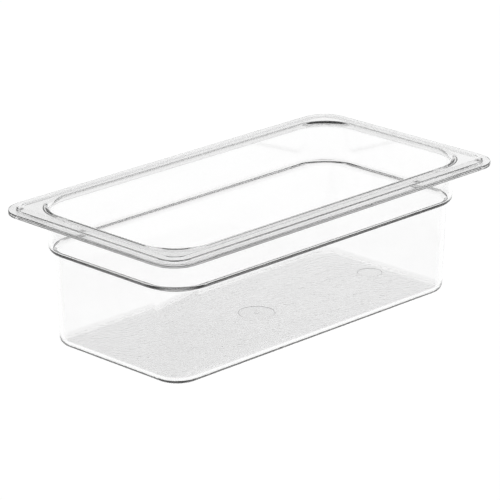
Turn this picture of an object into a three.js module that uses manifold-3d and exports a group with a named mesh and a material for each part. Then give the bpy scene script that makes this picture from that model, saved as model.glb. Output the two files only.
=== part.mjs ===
// A third-size food pan, 100 mm deep, as one clear polycarbonate moulding.
// Millimetres, +Z up. The origin is the middle of the base, +X runs along the length.
//
// The wall is a skin of even thickness. Its section is drawn once, as a list of stations, and every
// station is a rounded rectangle: how far it lies inside the rim's outline, how high, and how round its
// corners are. Joining the stations in order makes the whole skin, outside and inside.
import * as THREE from "three";
import { mergeVertices } from "three/addons/utils/BufferGeometryUtils.js";
import Module from "manifold-3d";

// Overall
const LENGTH = 325;
const WIDTH = 176;
const HEIGHT = 100;
const WALL = 2.6;

// Rim: a flat top, a step down around it, and a thin lip outside the step
const LIP_CORNER_RADIUS = 20;
const LIP_THICKNESS = 2.8;
const LIP_EDGE_RADIUS = 0.5;
const LIP_FALL = 0.1; // the lip's top face slopes down outwards by this much
const STEP_INSET = 5.6; // the upright part of the step, from the lip's edge
const STEP_UPRIGHT = 0.12; // the straight stretch between the step's two rounds
const STEP_FOOT_RADIUS = 0.3;
const STEP_BREAK_RADIUS = 0.6; // where the upright part turns into the ramp
const RAMP_ANGLE = 22; // degrees above level, between the step and the flat top
const RIDGE_INSET = 9.2; // the outer edge of the flat top
const RIDGE_THICKENING = 1.6; // how much further in the underside's ridge lies than an even wall's would

// Opening and collar, the upper part of the wall
const OPENING_INSET = 17.6; // the inside face of the collar at its top
const OPENING_CORNER_RADIUS = 29;
const OPENING_EDGE_RADIUS = 3.2;
const COLLAR_ROOT_RADIUS = 3; // outside, where the collar meets the underside of the rim
const COLLAR_DRAFT = 1.8; // degrees
const SHOULDER_DROP = 31.4; // from the flat top down to the underside of the stacking shoulder
const SHOULDER_EDGE_RADIUS = 3.4; // the shoulder's lower edge outside, and the ledge's edge inside
const SHOULDER_ROOT_RADIUS = 2; // outside, where the lower wall meets the shoulder
const LEDGE_ROOT_RADIUS = 1; // inside, where the collar meets the ledge

// Lower wall, below the stacking shoulder
const SHOULDER_DEPTH = 5.5; // how far the wall steps in at the shoulder
const SHOULDER_FLAT_SHARE = 0.99; // the most of that depth that the shoulder's two rounds may take up
const LOWER_CORNER_RADIUS = 21; // outside, at the shoulder
const LOWER_DRAFT = 2.1; // degrees
const BASE_EDGE_RADIUS = 5;
const BASE_COVE_RADIUS = 3.4; // inside, between the wall and the floor

// Moulding marks in the underside of the base
const MARK_DEPTH = 0.4;
const GATE_MARK_DIAMETER = 26;
const GATE_DIAMETER = 3;
const GATE_HEIGHT = 0.3;
const CAVITY_MARK_DIAMETER = 18;
const CAVITY_MARK_X = 118;

// How finely the round parts are faceted
const CORNER_STEPS = 10;
const EDGE_STEPS = 4;
const MARK_STEPS = 32;

const tangent = (degrees) => Math.tan(THREE.MathUtils.degToRad(degrees));

// One station of the section. The corner radius follows an even skin: it shrinks as the inset grows,
// from the radius that a reference station has.
function station(inset, z, reference) {
  return { inset, z, radius: reference.radius - (inset - reference.inset) };
}

// Stations along a round edge. Angles are in degrees, 0 towards the middle of the pan and 90 upwards.
function roundEdge(centreInset, centreZ, radius, from, to, steps, reference) {
  const stations = [];
  for (let i = 0; i <= steps; i++) {
    const angle = THREE.MathUtils.degToRad(from + ((to - from) * i) / steps);
    const inset = centreInset + radius * Math.cos(angle);
    stations.push(station(inset, centreZ + radius * Math.sin(angle), reference));
  }
  return stations;
}

// The upper part's and the lower part's faces, as insets at a height.
const rimReference = { inset: 0, radius: LIP_CORNER_RADIUS };
const collarReference = { inset: OPENING_INSET, radius: OPENING_CORNER_RADIUS };
const shoulderZ = HEIGHT - SHOULDER_DROP;
const collarOutside = (z) => OPENING_INSET - WALL + (HEIGHT - z) * tangent(COLLAR_DRAFT);
const lowerTopInset = collarOutside(shoulderZ) + SHOULDER_DEPTH;
const lowerReference = { inset: lowerTopInset, radius: LOWER_CORNER_RADIUS };
const lowerOutside = (z) => lowerTopInset + (shoulderZ - z) * tangent(LOWER_DRAFT);

// Two rounds that share a flat: each keeps its size unless the flat is too short for both.
const bothRounds = SHOULDER_EDGE_RADIUS + SHOULDER_ROOT_RADIUS;
const shoulderFit = Math.min(1, (SHOULDER_FLAT_SHARE * SHOULDER_DEPTH) / bothRounds);
const shoulderEdge = SHOULDER_EDGE_RADIUS * shoulderFit;
const shoulderRoot = SHOULDER_ROOT_RADIUS * shoulderFit;

// The underside's ridge: an even wall's would lie half the ramp's bend further in than the top's.
const innerRidge = RIDGE_INSET + WALL * tangent(RAMP_ANGLE / 2) + RIDGE_THICKENING;
const collarRoot = Math.min(COLLAR_ROOT_RADIUS, collarOutside(HEIGHT - WALL) - innerRidge);

// Underside of the base, its round edge and the lower wall, going up.
function outsideBelowShoulder() {
  const centre = lowerOutside(BASE_EDGE_RADIUS) + BASE_EDGE_RADIUS;
  const rootZ = shoulderZ - shoulderRoot;
  const rootInset = lowerOutside(rootZ) - shoulderRoot;
  return [
    ...roundEdge(centre, BASE_EDGE_RADIUS, BASE_EDGE_RADIUS, 270, 180, EDGE_STEPS + 2, lowerReference),
    ...roundEdge(rootInset, rootZ, shoulderRoot, 0, 90, EDGE_STEPS - 1, lowerReference),
  ];
}

// Shoulder's lower edge, the collar, and the root where it meets the rim's underside.
function outsideOfCollar() {
  const edge = shoulderEdge;
  const root = collarRoot;
  const edgeCentre = collarOutside(shoulderZ + edge) + edge;
  const rootZ = HEIGHT - WALL - root;
  return [
    ...roundEdge(edgeCentre, shoulderZ + edge, edge, 270, 180, EDGE_STEPS, collarReference),
    ...roundEdge(collarOutside(rootZ) - root, rootZ, root, 0, 90, EDGE_STEPS - 1, collarReference),
  ];
}

// The rim's section: its underside going out, the lip's rounded edge, and its top going back in.
function rim() {
  const breakCentre = STEP_INSET + STEP_BREAK_RADIUS;
  const rampSine = Math.sin(THREE.MathUtils.degToRad(RAMP_ANGLE));
  const rampCosine = Math.cos(THREE.MathUtils.degToRad(RAMP_ANGLE));
  // The ramp comes down from the ridge and runs tangent to the round break.
  const tangentInset = breakCentre - STEP_BREAK_RADIUS * rampSine;
  const tangentZ = HEIGHT - (RIDGE_INSET - tangentInset) * tangent(RAMP_ANGLE);
  const breakZ = tangentZ - STEP_BREAK_RADIUS * rampCosine;
  // Below the break comes the upright stretch, then the round foot on top of the lip.
  const foot = STEP_FOOT_RADIUS;
  const footZ = breakZ - STEP_UPRIGHT - foot;
  const lip = LIP_EDGE_RADIUS;
  const lipTop = footZ - LIP_FALL;
  const lipBottom = lipTop - LIP_THICKNESS;
  // The underside repeats the step, one wall further in.
  const innerStep = STEP_INSET + WALL;
  const innerStepZ = HEIGHT - WALL - (innerRidge - innerStep) * tangent(RAMP_ANGLE);
  return [
    station(innerRidge, HEIGHT - WALL, rimReference),
    station(innerStep, innerStepZ, rimReference),
    station(innerStep, lipBottom, rimReference),
    ...roundEdge(lip, lipBottom + lip, lip, 270, 180, EDGE_STEPS - 1, rimReference),
    ...roundEdge(lip, lipTop - lip, lip, 180, 90, EDGE_STEPS - 1, rimReference),
    ...roundEdge(STEP_INSET - foot, footZ + foot, foot, 270, 360, EDGE_STEPS - 1, rimReference),
    ...roundEdge(breakCentre, breakZ, STEP_BREAK_RADIUS, 180, 90 + RAMP_ANGLE, EDGE_STEPS - 1, rimReference),
    station(RIDGE_INSET, HEIGHT, rimReference),
  ];
}

// The opening's round edge and the inside of the collar, going down to the shoulder's ledge.
function insideOfCollar() {
  const edge = OPENING_EDGE_RADIUS;
  const root = LEDGE_ROOT_RADIUS;
  const inside = (z) => collarOutside(z) + WALL;
  const ledgeZ = shoulderZ + WALL;
  const rootCentre = inside(ledgeZ + root) + root;
  return [
    ...roundEdge(inside(HEIGHT - edge) - edge, HEIGHT - edge, edge, 90, 0, EDGE_STEPS, collarReference),
    ...roundEdge(rootCentre, ledgeZ + root, root, 180, 270, EDGE_STEPS - 1, collarReference),
  ];
}

// Over the ledge's edge, down the inside of the lower wall and round into the floor.
function insideBelowShoulder() {
  const edge = shoulderEdge;
  const cove = BASE_COVE_RADIUS;
  const inside = (z) => lowerOutside(z) + WALL;
  const edgeZ = shoulderZ + WALL - edge;
  const coveZ = WALL + cove;
  return [
    ...roundEdge(inside(edgeZ) - edge, edgeZ, edge, 90, 0, EDGE_STEPS, lowerReference),
    ...roundEdge(inside(coveZ) + cove, coveZ, cove, 180, 270, EDGE_STEPS + 1, lowerReference),
  ];
}

// The corners of one station, anticlockwise seen from above.
function outline({ inset, z, radius }) {
  const points = [];
  for (let corner = 0; corner < 4; corner++) {
    const signX = corner === 0 || corner === 3 ? 1 : -1;
    const signY = corner < 2 ? 1 : -1;
    const centreX = signX * (LENGTH / 2 - inset - radius);
    const centreY = signY * (WIDTH / 2 - inset - radius);
    for (let i = 0; i <= CORNER_STEPS; i++) {
      const angle = ((corner + i / CORNER_STEPS) * Math.PI) / 2;
      const x = centreX + radius * Math.cos(angle);
      points.push(new THREE.Vector3(x, centreY + radius * Math.sin(angle), z));
    }
  }
  return points;
}

// Joins the stations' outlines into one closed skin, with a flat cap on the first and the last.
function loft(stations) {
  const rings = stations.map(outline);
  const count = rings[0].length;
  const vertices = rings.flat();
  const triangles = [];
  for (let ring = 0; ring + 1 < rings.length; ring++) {
    for (let i = 0; i < count; i++) {
      const next = (i + 1) % count;
      const low = ring * count;
      const high = low + count;
      triangles.push([low + i, low + next, high + next], [low + i, high + next, high + i]);
    }
  }
  const underside = vertices.length;
  vertices.push(new THREE.Vector3(0, 0, stations[0].z));
  const floor = vertices.length;
  vertices.push(new THREE.Vector3(0, 0, stations.at(-1).z));
  const last = (rings.length - 1) * count;
  for (let i = 0; i < count; i++) {
    const next = (i + 1) % count;
    triangles.push([underside, next, i], [floor, last + i, last + next]);
  }
  return new THREE.BufferGeometry().setFromPoints(vertices).setIndex(triangles.flat());
}

const wasm = await Module();
wasm.setup();

// A closed three.js geometry as a solid that can be joined and cut.
function solid(geometry) {
  geometry.deleteAttribute("normal");
  geometry.deleteAttribute("uv");
  const merged = mergeVertices(geometry, 1e-4);
  const vertProperties = new Float32Array(merged.getAttribute("position").array);
  const triVerts = new Uint32Array(merged.getIndex().array);
  return new wasm.Manifold(new wasm.Mesh({ numProp: 3, vertProperties, triVerts }));
}

// A joined or cut solid as a three.js geometry again.
function geometryOf(made) {
  const { vertProperties, triVerts } = made.getMesh();
  const geometry = new THREE.BufferGeometry();
  geometry.setAttribute("position", new THREE.BufferAttribute(vertProperties, 3));
  geometry.setIndex(new THREE.BufferAttribute(triVerts, 1));
  geometry.computeVertexNormals();
  return geometry;
}

// An upright disc between two heights.
function disc(diameter, x, bottom, top) {
  const geometry = new THREE.CylinderGeometry(diameter / 2, diameter / 2, top - bottom, MARK_STEPS);
  geometry.rotateX(Math.PI / 2);
  geometry.translate(x, 0, (bottom + top) / 2);
  return solid(geometry);
}

// The round marks that the mould leaves in the underside, with the nub of the gate in the middle one.
function withMouldingMarks(skin) {
  const clear = 1; // the cutting discs start this far below the base
  return skin
    .subtract(disc(GATE_MARK_DIAMETER, 0, -clear, MARK_DEPTH))
    .subtract(disc(CAVITY_MARK_DIAMETER, CAVITY_MARK_X, -clear, MARK_DEPTH))
    .add(disc(GATE_DIAMETER, 0, MARK_DEPTH - GATE_HEIGHT, (MARK_DEPTH + WALL) / 2));
}

function clearPolycarbonate() {
  return new THREE.MeshStandardMaterial({
    color: 0xeef1f2,
    roughness: 0.06,
    metalness: 0,
    transparent: true,
    opacity: 0.3,
  });
}

function pan() {
  const skin = loft([
    ...outsideBelowShoulder(),
    ...outsideOfCollar(),
    ...rim(),
    ...insideOfCollar(),
    ...insideBelowShoulder(),
  ]);
  const mesh = new THREE.Mesh(geometryOf(withMouldingMarks(solid(skin))), clearPolycarbonate());
  mesh.name = "pan";
  return mesh;
}

const foodPan = new THREE.Group();
foodPan.add(pan());

export default foodPan;
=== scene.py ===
"""A clear food pan: one polycarbonate moulding, with its fine surface made here in mesh code.

The wall's section is drawn once, as a chain of arcs that meet each other's flats without a kink. Every
point of it is a station: a rounded rectangle at a height. Joining the stations makes the whole skin, and
the arcs also give each point its exact normal, so that the clear walls bend light smoothly.
"""

import math
from collections import namedtuple

import bpy
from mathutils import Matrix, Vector
from mathutils.geometry import tessellate_polygon


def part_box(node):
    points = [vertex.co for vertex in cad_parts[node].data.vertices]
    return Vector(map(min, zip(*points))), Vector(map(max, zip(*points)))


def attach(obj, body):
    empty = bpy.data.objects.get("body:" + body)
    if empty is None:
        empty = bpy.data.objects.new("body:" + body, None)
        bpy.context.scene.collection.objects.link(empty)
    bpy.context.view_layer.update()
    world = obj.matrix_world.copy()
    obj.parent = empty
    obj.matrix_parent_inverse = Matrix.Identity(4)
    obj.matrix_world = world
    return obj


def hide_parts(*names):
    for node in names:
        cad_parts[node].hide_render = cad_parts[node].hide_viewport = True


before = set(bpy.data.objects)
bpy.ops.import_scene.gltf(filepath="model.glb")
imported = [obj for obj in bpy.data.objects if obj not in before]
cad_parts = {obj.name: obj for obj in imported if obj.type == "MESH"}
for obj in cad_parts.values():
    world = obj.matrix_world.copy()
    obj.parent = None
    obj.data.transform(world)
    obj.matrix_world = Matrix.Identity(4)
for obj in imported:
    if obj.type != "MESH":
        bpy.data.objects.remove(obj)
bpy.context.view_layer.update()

MM = 0.001

# Overall sizes, from the CAD node
lowest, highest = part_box("pan")
LENGTH = highest.x - lowest.x
WIDTH = highest.y - lowest.y
HEIGHT = highest.z - lowest.z
WALL = 2.6 * MM

# Rim: a flat top, a step down around it, and a thin lip outside the step
LIP_CORNER_RADIUS = 20 * MM
LIP_THICKNESS = 2.8 * MM
LIP_EDGE_RADIUS = 0.5 * MM
LIP_FALL = 0.1 * MM
STEP_INSET = 5.6 * MM
STEP_UPRIGHT = 0.12 * MM
STEP_FOOT_RADIUS = 0.3 * MM
STEP_BREAK_RADIUS = 0.6 * MM
RAMP_ANGLE = 22
RIDGE_INSET = 9.2 * MM
RIDGE_ROUND = 0.5 * MM
RIDGE_THICKENING = 1.6 * MM
UNDERSIDE_ROUND = 0.5 * MM

# Opening and collar
OPENING_INSET = 17.6 * MM
OPENING_CORNER_RADIUS = 29 * MM
OPENING_EDGE_RADIUS = 3.2 * MM
COLLAR_ROOT_RADIUS = 3 * MM
COLLAR_DRAFT = 1.8
SHOULDER_DROP = 31.4 * MM
SHOULDER_EDGE_RADIUS = 3.4 * MM
SHOULDER_ROOT_RADIUS = 2 * MM
LEDGE_ROOT_RADIUS = 1 * MM

# Lower wall and base
SHOULDER_DEPTH = 5.5 * MM
LOWER_CORNER_RADIUS = 21 * MM
LOWER_DRAFT = 2.1
BASE_EDGE_RADIUS = 5 * MM
BASE_COVE_RADIUS = 3.4 * MM

# Moulding marks in the underside of the base
MARK_DEPTH = 0.4 * MM
MARK_ROUND = 0.2 * MM
GATE_MARK_DIAMETER = 26 * MM
GATE_DIAMETER = 3 * MM
GATE_HEIGHT = 0.3 * MM
CAVITY_MARK_DIAMETER = 18 * MM
CAVITY_MARK_X = 118 * MM

# How finely the round parts are made
CORNER_STEPS = 40
DEGREES_PER_STEP = 7
FEWEST_ARC_STEPS = 3
MARK_STEPS = 96
MARK_EDGE_STEPS = 6

# The plastic: how far up from the base's flat its texture reaches, and the textures' sizes
PLASTIC_IOR = 1.585
NOISE_DETAIL = 3.0
FLAT_REACH = 0.05 * MM
SPARK_SCALE = 350
SPARK_DEPTH = 0.15 * MM
UNDERSIDE_ROUGHNESS = 0.02
FLOW_STRETCH = (1, 7, 5)
FLOW_SCALE = 14
FLOW_DEPTH = 0.2 * MM
TINT_LOW = 0.95
TINT_HIGH = 1.0

# Light. The sky goes by the sine of the height above the horizon: (sine, brightness)
SKY = [(0.12, 1.0), (0.3, 0.8), (0.36, 0.01), (0.95, 0.01)]
GROUND_GLOW = 1.0
GROUND_GREY = 0.2
GROUND_DROP = 0.4 * MM
GROUND_SIZE = 30.0
LIGHT_BOUNCES = 24
GLOSSY_BOUNCES = 12

# Camera: degrees round from the front and above the horizon, and its distance in metres
CAMERA_AZIMUTH = -45.07
CAMERA_ELEVATION = 19.287
CAMERA_ROLL = -0.226
CAMERA_DISTANCE = 2.1974
CAMERA_LENS = 224.4
CAMERA_TARGET = Vector((-1.71, 3.27, 48.14)) * MM

Reference = namedtuple("Reference", "inset radius")
Station = namedtuple("Station", "inset z radius normal_inset normal_z")


def tangent(degrees):
    return math.tan(math.radians(degrees))


def cosine(degrees):
    return math.cos(math.radians(degrees))


def sine(degrees):
    return math.sin(math.radians(degrees))


def arc(centre_inset, centre_z, radius, start, end, reference, hollow=False):
    """Stations along a round stretch, from one angle to another in degrees.

    0 degrees is towards the middle of the pan and 90 is upwards.
    """
    steps = max(FEWEST_ARC_STEPS, math.ceil(abs(end - start) / DEGREES_PER_STEP))
    side = -1 if hollow else 1
    stations = []
    for i in range(steps + 1):
        angle = start + (end - start) * i / steps
        inset = centre_inset + radius * cosine(angle)
        corner = reference.radius - (inset - reference.inset)
        z = centre_z + radius * sine(angle)
        stations.append(Station(inset, z, corner, side * cosine(angle), side * sine(angle)))
    return stations


rim_reference = Reference(0, LIP_CORNER_RADIUS)
collar_reference = Reference(OPENING_INSET, OPENING_CORNER_RADIUS)
shoulder_z = HEIGHT - SHOULDER_DROP
ledge_z = shoulder_z + WALL


def collar_outside(z):
    return OPENING_INSET - WALL + (HEIGHT - z) * tangent(COLLAR_DRAFT)


lower_top_inset = collar_outside(shoulder_z) + SHOULDER_DEPTH
lower_reference = Reference(lower_top_inset, LOWER_CORNER_RADIUS)


def lower_outside(z):
    return lower_top_inset + (shoulder_z - z) * tangent(LOWER_DRAFT)


def outside_below_shoulder():
    """The base's round edge and the root under the shoulder, going up."""
    base, root = BASE_EDGE_RADIUS, SHOULDER_ROOT_RADIUS
    centre = lower_outside(base) + base / cosine(LOWER_DRAFT)
    root_z = shoulder_z - root
    root_centre = lower_outside(root_z) - root / cosine(LOWER_DRAFT)
    return [
        *arc(centre, base, base, 270, 180 + LOWER_DRAFT, lower_reference),
        *arc(root_centre, root_z, root, LOWER_DRAFT, 90, lower_reference, hollow=True),
    ]


def outside_of_collar():
    """The shoulder's lower edge and the root under the rim, going up."""
    edge, root = SHOULDER_EDGE_RADIUS, COLLAR_ROOT_RADIUS
    edge_z = shoulder_z + edge
    edge_centre = collar_outside(edge_z) + edge / cosine(COLLAR_DRAFT)
    root_z = HEIGHT - WALL - root
    root_centre = collar_outside(root_z) - root / cosine(COLLAR_DRAFT)
    return [
        *arc(edge_centre, edge_z, edge, 270, 180 + COLLAR_DRAFT, collar_reference),
        *arc(root_centre, root_z, root, COLLAR_DRAFT, 90, collar_reference, hollow=True),
    ]


def rim():
    """The rim's underside going out, the lip's rounded edge, and its top going back in."""
    break_centre = STEP_INSET + STEP_BREAK_RADIUS
    tangent_inset = break_centre - STEP_BREAK_RADIUS * sine(RAMP_ANGLE)
    tangent_z = HEIGHT - (RIDGE_INSET - tangent_inset) * tangent(RAMP_ANGLE)
    break_z = tangent_z - STEP_BREAK_RADIUS * cosine(RAMP_ANGLE)
    foot = STEP_FOOT_RADIUS
    foot_z = break_z - STEP_UPRIGHT - foot
    lip = LIP_EDGE_RADIUS
    lip_top = foot_z - LIP_FALL
    lip_bottom = lip_top - LIP_THICKNESS
    fall_angle = math.degrees(math.atan2(LIP_FALL, STEP_INSET - foot - lip))
    # The underside repeats the step further in, where its ridge also leaves the rim a little thicker.
    inner_step = STEP_INSET + WALL
    inner_ridge = RIDGE_INSET + WALL * tangent(RAMP_ANGLE / 2) + RIDGE_THICKENING
    inner_step_z = HEIGHT - WALL - (inner_ridge - inner_step) * tangent(RAMP_ANGLE)
    # The round between two flats starts this far from their corner.
    small = UNDERSIDE_ROUND
    ridge_centre = inner_ridge + small * tangent(RAMP_ANGLE / 2)
    step_centre_z = inner_step_z - small * tangent((90 - RAMP_ANGLE) / 2)
    ridge = RIDGE_ROUND
    outer_ridge = RIDGE_INSET + ridge * tangent(RAMP_ANGLE / 2)
    reference = rim_reference
    return [
        *arc(ridge_centre, HEIGHT - WALL - small, small, 90, 90 + RAMP_ANGLE, reference, hollow=True),
        *arc(inner_step + small, step_centre_z, small, 90 + RAMP_ANGLE, 180, reference, hollow=True),
        *arc(inner_step - small, lip_bottom + small, small, 0, -90, reference),
        *arc(lip, lip_bottom + lip, lip, 270, 180, reference),
        *arc(lip, lip_top - lip, lip, 180, 90 + fall_angle, reference),
        *arc(STEP_INSET - foot, foot_z + foot, foot, 270 + fall_angle, 360, reference, hollow=True),
        *arc(break_centre, break_z, STEP_BREAK_RADIUS, 180, 90 + RAMP_ANGLE, reference),
        *arc(outer_ridge, HEIGHT - ridge, ridge, 90 + RAMP_ANGLE, 90, reference),
    ]


def inside_of_collar():
    """The opening's round edge and the root of the shoulder's ledge, going down."""
    edge, root = OPENING_EDGE_RADIUS, LEDGE_ROOT_RADIUS
    edge_z, root_z = HEIGHT - edge, ledge_z + root
    edge_centre = collar_outside(edge_z) + WALL - edge / cosine(COLLAR_DRAFT)
    root_centre = collar_outside(root_z) + WALL + root / cosine(COLLAR_DRAFT)
    return [
        *arc(edge_centre, edge_z, edge, 90, COLLAR_DRAFT, collar_reference),
        *arc(root_centre, root_z, root, 180 + COLLAR_DRAFT, 270, collar_reference, hollow=True),
    ]


def inside_below_shoulder():
    """Over the ledge's edge, down the lower wall and round the cove into the floor."""
    edge, cove = SHOULDER_EDGE_RADIUS, BASE_COVE_RADIUS
    edge_z, cove_z = ledge_z - edge, WALL + cove
    edge_centre = lower_outside(edge_z) + WALL - edge / cosine(LOWER_DRAFT)
    cove_centre = lower_outside(cove_z) + WALL + cove / cosine(LOWER_DRAFT)
    return [
        *arc(edge_centre, edge_z, edge, 90, LOWER_DRAFT, lower_reference),
        *arc(cove_centre, cove_z, cove, 180 + LOWER_DRAFT, 270, lower_reference, hollow=True),
    ]


def outline(station):
    """The station's rounded rectangle, anticlockwise from above: positions and normals."""
    positions, normals = [], []
    for corner in range(4):
        sign_x = 1 if corner in (0, 3) else -1
        sign_y = 1 if corner < 2 else -1
        centre_x = sign_x * (LENGTH / 2 - station.inset - station.radius)
        centre_y = sign_y * (WIDTH / 2 - station.inset - station.radius)
        for i in range(CORNER_STEPS + 1):
            angle = 90 * (corner + i / CORNER_STEPS)
            out_x, out_y = cosine(angle), sine(angle)
            x = centre_x + station.radius * out_x
            positions.append((x, centre_y + station.radius * out_y, station.z))
            level = -station.normal_inset
            normals.append((level * out_x, level * out_y, station.normal_z))
    return positions, normals


class Skin:
    """A closed mesh in the making: positions, normals and faces."""

    def __init__(self):
        self.positions, self.normals, self.faces = [], [], []

    def ring(self, positions, normals):
        first = len(self.positions)
        self.positions += positions
        self.normals += normals
        return range(first, first + len(positions))

    def join(self, low, high):
        count = len(low)
        for i in range(count):
            after = (i + 1) % count
            self.faces.append((low[i], low[after], high[after], high[i]))

    def cap(self, outer, holes, upwards):
        """A flat face inside one ring and outside the holes' rings."""
        rings = [list(outer), *[list(hole) for hole in holes]]
        flat = [i for ring in rings for i in ring]
        loops = [[Vector(self.positions[i]) for i in ring] for ring in rings]
        for triangle in tessellate_polygon(loops):
            a, b, c = (flat[i] for i in triangle)
            pa, pb, pc = (Vector(self.positions[i]) for i in (a, b, c))
            rises = (pb - pa).cross(pc - pa).z > 0
            self.faces.append((a, b, c) if rises == upwards else (a, c, b))


def circle(x, radius, z, level, upright):
    """A ring round a mark's middle. level is the normal's outward part, upright its part along Z."""
    positions, normals = [], []
    for i in range(MARK_STEPS):
        angle = 360 * i / MARK_STEPS
        positions.append((x + radius * cosine(angle), radius * sine(angle), z))
        normals.append((level * cosine(angle), level * sine(angle), upright))
    return positions, normals


def mark_profile(radius, gate_radius):
    """From the flat base into a round recess: each ring's radius, height and normal.

    The normal is given as its outward part and its part along Z.
    """
    turn = [90 * i / MARK_EDGE_STEPS for i in range(MARK_EDGE_STEPS + 1)]
    profile = []
    for angle in turn:
        # Over the recess's edge: from the flat base, facing down, to its side, facing the middle.
        across = radius + MARK_ROUND * (1 - sine(angle))
        z = MARK_ROUND * (1 - cosine(angle))
        profile.append((across, z, -sine(angle), -cosine(angle)))
    for angle in turn[1:]:
        # Round from the side into the recess's own flat.
        across = radius - MARK_ROUND * (1 - cosine(angle))
        z = MARK_DEPTH - MARK_ROUND * (1 - sine(angle))
        profile.append((across, z, -cosine(angle), -sine(angle)))
    if not gate_radius:
        return profile
    nub_round = GATE_HEIGHT / 2
    for angle in turn:
        # The nub's root, from the recess's flat to the nub's side.
        across = gate_radius + nub_round * (1 - sine(angle))
        z = MARK_DEPTH - nub_round * (1 - cosine(angle))
        profile.append((across, z, sine(angle), -cosine(angle)))
    for angle in turn[1:]:
        # The nub's edge, from its side to its end, which points down.
        across = gate_radius - nub_round * (1 - cosine(angle))
        z = MARK_DEPTH - GATE_HEIGHT + nub_round * (1 - sine(angle))
        profile.append((across, z, cosine(angle), -sine(angle)))
    return profile


def mark(skin, x, radius, gate_radius=0.0):
    """A round recess in the underside, with the gate's nub in its middle if it has one.

    Returns the ring where the recess meets the flat base.
    """
    rings = [skin.ring(*circle(x, *row)) for row in mark_profile(radius, gate_radius)]
    for outer, inner in zip(rings, rings[1:]):
        skin.join(inner, outer)
    skin.cap(rings[-1], [], upwards=False)
    return rings[0]


def make_pan():
    stations = [
        *outside_below_shoulder(),
        *outside_of_collar(),
        *rim(),
        *inside_of_collar(),
        *inside_below_shoulder(),
    ]
    skin = Skin()
    rings = [skin.ring(*outline(station)) for station in stations]
    for low, high in zip(rings, rings[1:]):
        skin.join(low, high)
    holes = [
        mark(skin, 0.0, GATE_MARK_DIAMETER / 2, GATE_DIAMETER / 2),
        mark(skin, CAVITY_MARK_X, CAVITY_MARK_DIAMETER / 2),
    ]
    skin.cap(rings[0], holes, upwards=False)
    skin.cap(rings[-1], [], upwards=True)
    mesh = bpy.data.meshes.new("pan_moulding")
    mesh.from_pydata(skin.positions, [], skin.faces)
    mesh.validate()
    mesh.polygons.foreach_set("use_smooth", [True] * len(mesh.polygons))
    mesh.normals_split_custom_set_from_vertices(skin.normals)
    piece = bpy.data.objects.new("pan_moulding", mesh)
    bpy.context.scene.collection.objects.link(piece)
    return piece


def grey(level):
    return (level, level, level, 1)


def node_material(name):
    material = bpy.data.materials.new(name)
    material.use_nodes = True
    tree = material.node_tree
    tree.nodes.clear()
    return material, tree


def add_node(tree, kind, **inputs):
    """A node with some of its sockets set. A name's underscores stand for spaces."""
    node = tree.nodes.new(kind)
    for name, value in inputs.items():
        node.inputs[name.replace("_", " ")].default_value = value
    return node


def clear_polycarbonate():
    """Clear plastic with a finely sparked underside, faint flow lines and a slight tint."""
    material, tree = node_material("clear_polycarbonate")
    link = tree.links.new

    def math_node(operation, first, second):
        node = tree.nodes.new("ShaderNodeMath")
        node.operation = operation
        for socket, value in zip(node.inputs, (first, second)):
            if isinstance(value, (int, float)):
                socket.default_value = value
            else:
                link(value, socket)
        return node.outputs["Value"]

    def noise(stretch, scale):
        """Noise in object space, drawn out by a different amount along each axis."""
        mapping = add_node(tree, "ShaderNodeMapping", Scale=stretch)
        texture = add_node(tree, "ShaderNodeTexNoise", Scale=scale, Detail=NOISE_DETAIL)
        link(place.outputs["Object"], mapping.inputs["Vector"])
        link(mapping.outputs["Vector"], texture.inputs["Vector"])
        return texture.outputs["Fac"]

    place = tree.nodes.new("ShaderNodeTexCoord")
    parts = tree.nodes.new("ShaderNodeSeparateXYZ")
    link(place.outputs["Object"], parts.inputs["Vector"])
    height = parts.outputs["Z"]
    underside = math_node("LESS_THAN", height, FLAT_REACH)

    sparks = noise((1, 1, 1), SPARK_SCALE)
    flow = noise(FLOW_STRETCH, FLOW_SCALE)
    spark_height = math_node("MULTIPLY", math_node("MULTIPLY", sparks, underside), SPARK_DEPTH)
    flow_height = math_node("MULTIPLY", math_node("MULTIPLY", flow, underside), FLOW_DEPTH)
    bump = add_node(tree, "ShaderNodeBump", Strength=1.0, Distance=1.0)
    link(math_node("ADD", spark_height, flow_height), bump.inputs["Height"])

    tint = tree.nodes.new("ShaderNodeMapRange")
    link(flow, tint.inputs["Value"])
    tint.inputs["To Min"].default_value = TINT_LOW
    tint.inputs["To Max"].default_value = TINT_HIGH
    colour = tree.nodes.new("ShaderNodeCombineColor")
    for channel in ("Red", "Green", "Blue"):
        link(tint.outputs["Result"], colour.inputs[channel])

    shader = add_node(tree, "ShaderNodeBsdfPrincipled", IOR=PLASTIC_IOR, Transmission_Weight=1.0)
    link(math_node("MULTIPLY", underside, UNDERSIDE_ROUGHNESS), shader.inputs["Roughness"])
    link(colour.outputs["Color"], shader.inputs["Base Color"])
    link(bump.outputs["Normal"], shader.inputs["Normal"])
    output = tree.nodes.new("ShaderNodeOutputMaterial")
    link(shader.outputs["BSDF"], output.inputs["Surface"])
    return material


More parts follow.
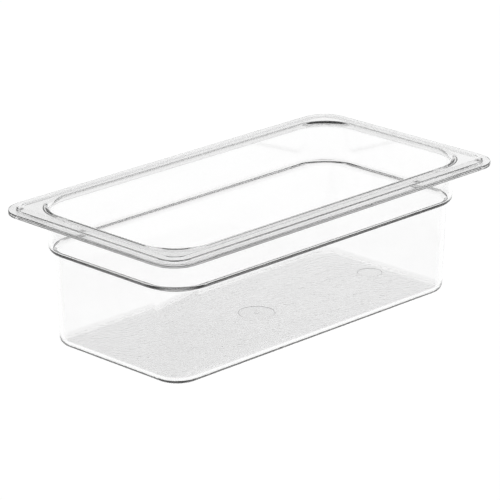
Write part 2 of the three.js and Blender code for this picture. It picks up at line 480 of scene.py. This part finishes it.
def pale_ground():
    material, tree = node_material("pale_ground")
    output = tree.nodes.new("ShaderNodeOutputMaterial")
    shader = add_node(tree, "ShaderNodeBsdfPrincipled", Roughness=1.0)
    shader.inputs["Base Color"].default_value = grey(GROUND_GREY)
    shader.inputs["Emission Color"].default_value = grey(1)
    shader.inputs["Emission Strength"].default_value = GROUND_GLOW
    shader.inputs["Specular IOR Level"].default_value = 0.0
    tree.links.new(shader.outputs["BSDF"], output.inputs["Surface"])
    mesh = bpy.data.meshes.new("ground")
    half = GROUND_SIZE / 2
    z = lowest.z - GROUND_DROP
    corners = [(-half, -half, z), (half, -half, z), (half, half, z), (-half, half, z)]
    mesh.from_pydata(corners, [], [(0, 1, 2, 3)])
    mesh.materials.append(material)
    ground = bpy.data.objects.new("ground", mesh)
    bpy.context.scene.collection.objects.link(ground)


def studio_light():
    world = bpy.data.worlds.new("studio")
    world.use_nodes = True
    bpy.context.scene.world = world
    tree = world.node_tree
    background = tree.nodes["Background"]
    direction = tree.nodes.new("ShaderNodeTexCoord")
    parts = tree.nodes.new("ShaderNodeSeparateXYZ")
    ramp = tree.nodes.new("ShaderNodeValToRGB")
    tree.links.new(direction.outputs["Generated"], parts.inputs["Vector"])
    tree.links.new(parts.outputs["Z"], ramp.inputs["Fac"])
    tree.links.new(ramp.outputs["Color"], background.inputs["Color"])
    # A new ramp has two stops. The sky's first two take them, and the others are added.
    stops = ramp.color_ramp.elements
    first_stops = list(stops)
    for stop, (height, brightness) in zip(first_stops, SKY):
        stop.position = height
        stop.color = grey(brightness)
    for height, brightness in SKY[len(first_stops):]:
        stops.new(height).color = grey(brightness)


def make_camera():
    scene = bpy.context.scene
    data = bpy.data.cameras.new("camera")
    data.lens = CAMERA_LENS
    camera = bpy.data.objects.new("camera", data)
    scene.collection.objects.link(camera)
    level = cosine(CAMERA_ELEVATION)
    back = Vector((sine(CAMERA_AZIMUTH) * level, -cosine(CAMERA_AZIMUTH) * level, sine(CAMERA_ELEVATION)))
    camera.location = CAMERA_TARGET + back * CAMERA_DISTANCE
    facing = (-back).to_track_quat("-Z", "Y")
    camera.rotation_euler = facing.to_euler()
    camera.rotation_euler.rotate_axis("Z", math.radians(CAMERA_ROLL))
    scene.camera = camera


def render_settings():
    scene = bpy.context.scene
    scene.view_settings.view_transform = "Standard"
    scene.cycles.max_bounces = LIGHT_BOUNCES
    scene.cycles.transmission_bounces = LIGHT_BOUNCES
    scene.cycles.glossy_bounces = GLOSSY_BOUNCES
    scene.cycles.use_denoising = True


make_camera()
pan = make_pan()
pan.data.materials.append(clear_polycarbonate())
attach(pan, "root")
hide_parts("pan")
pale_ground()
studio_light()
render_settings()
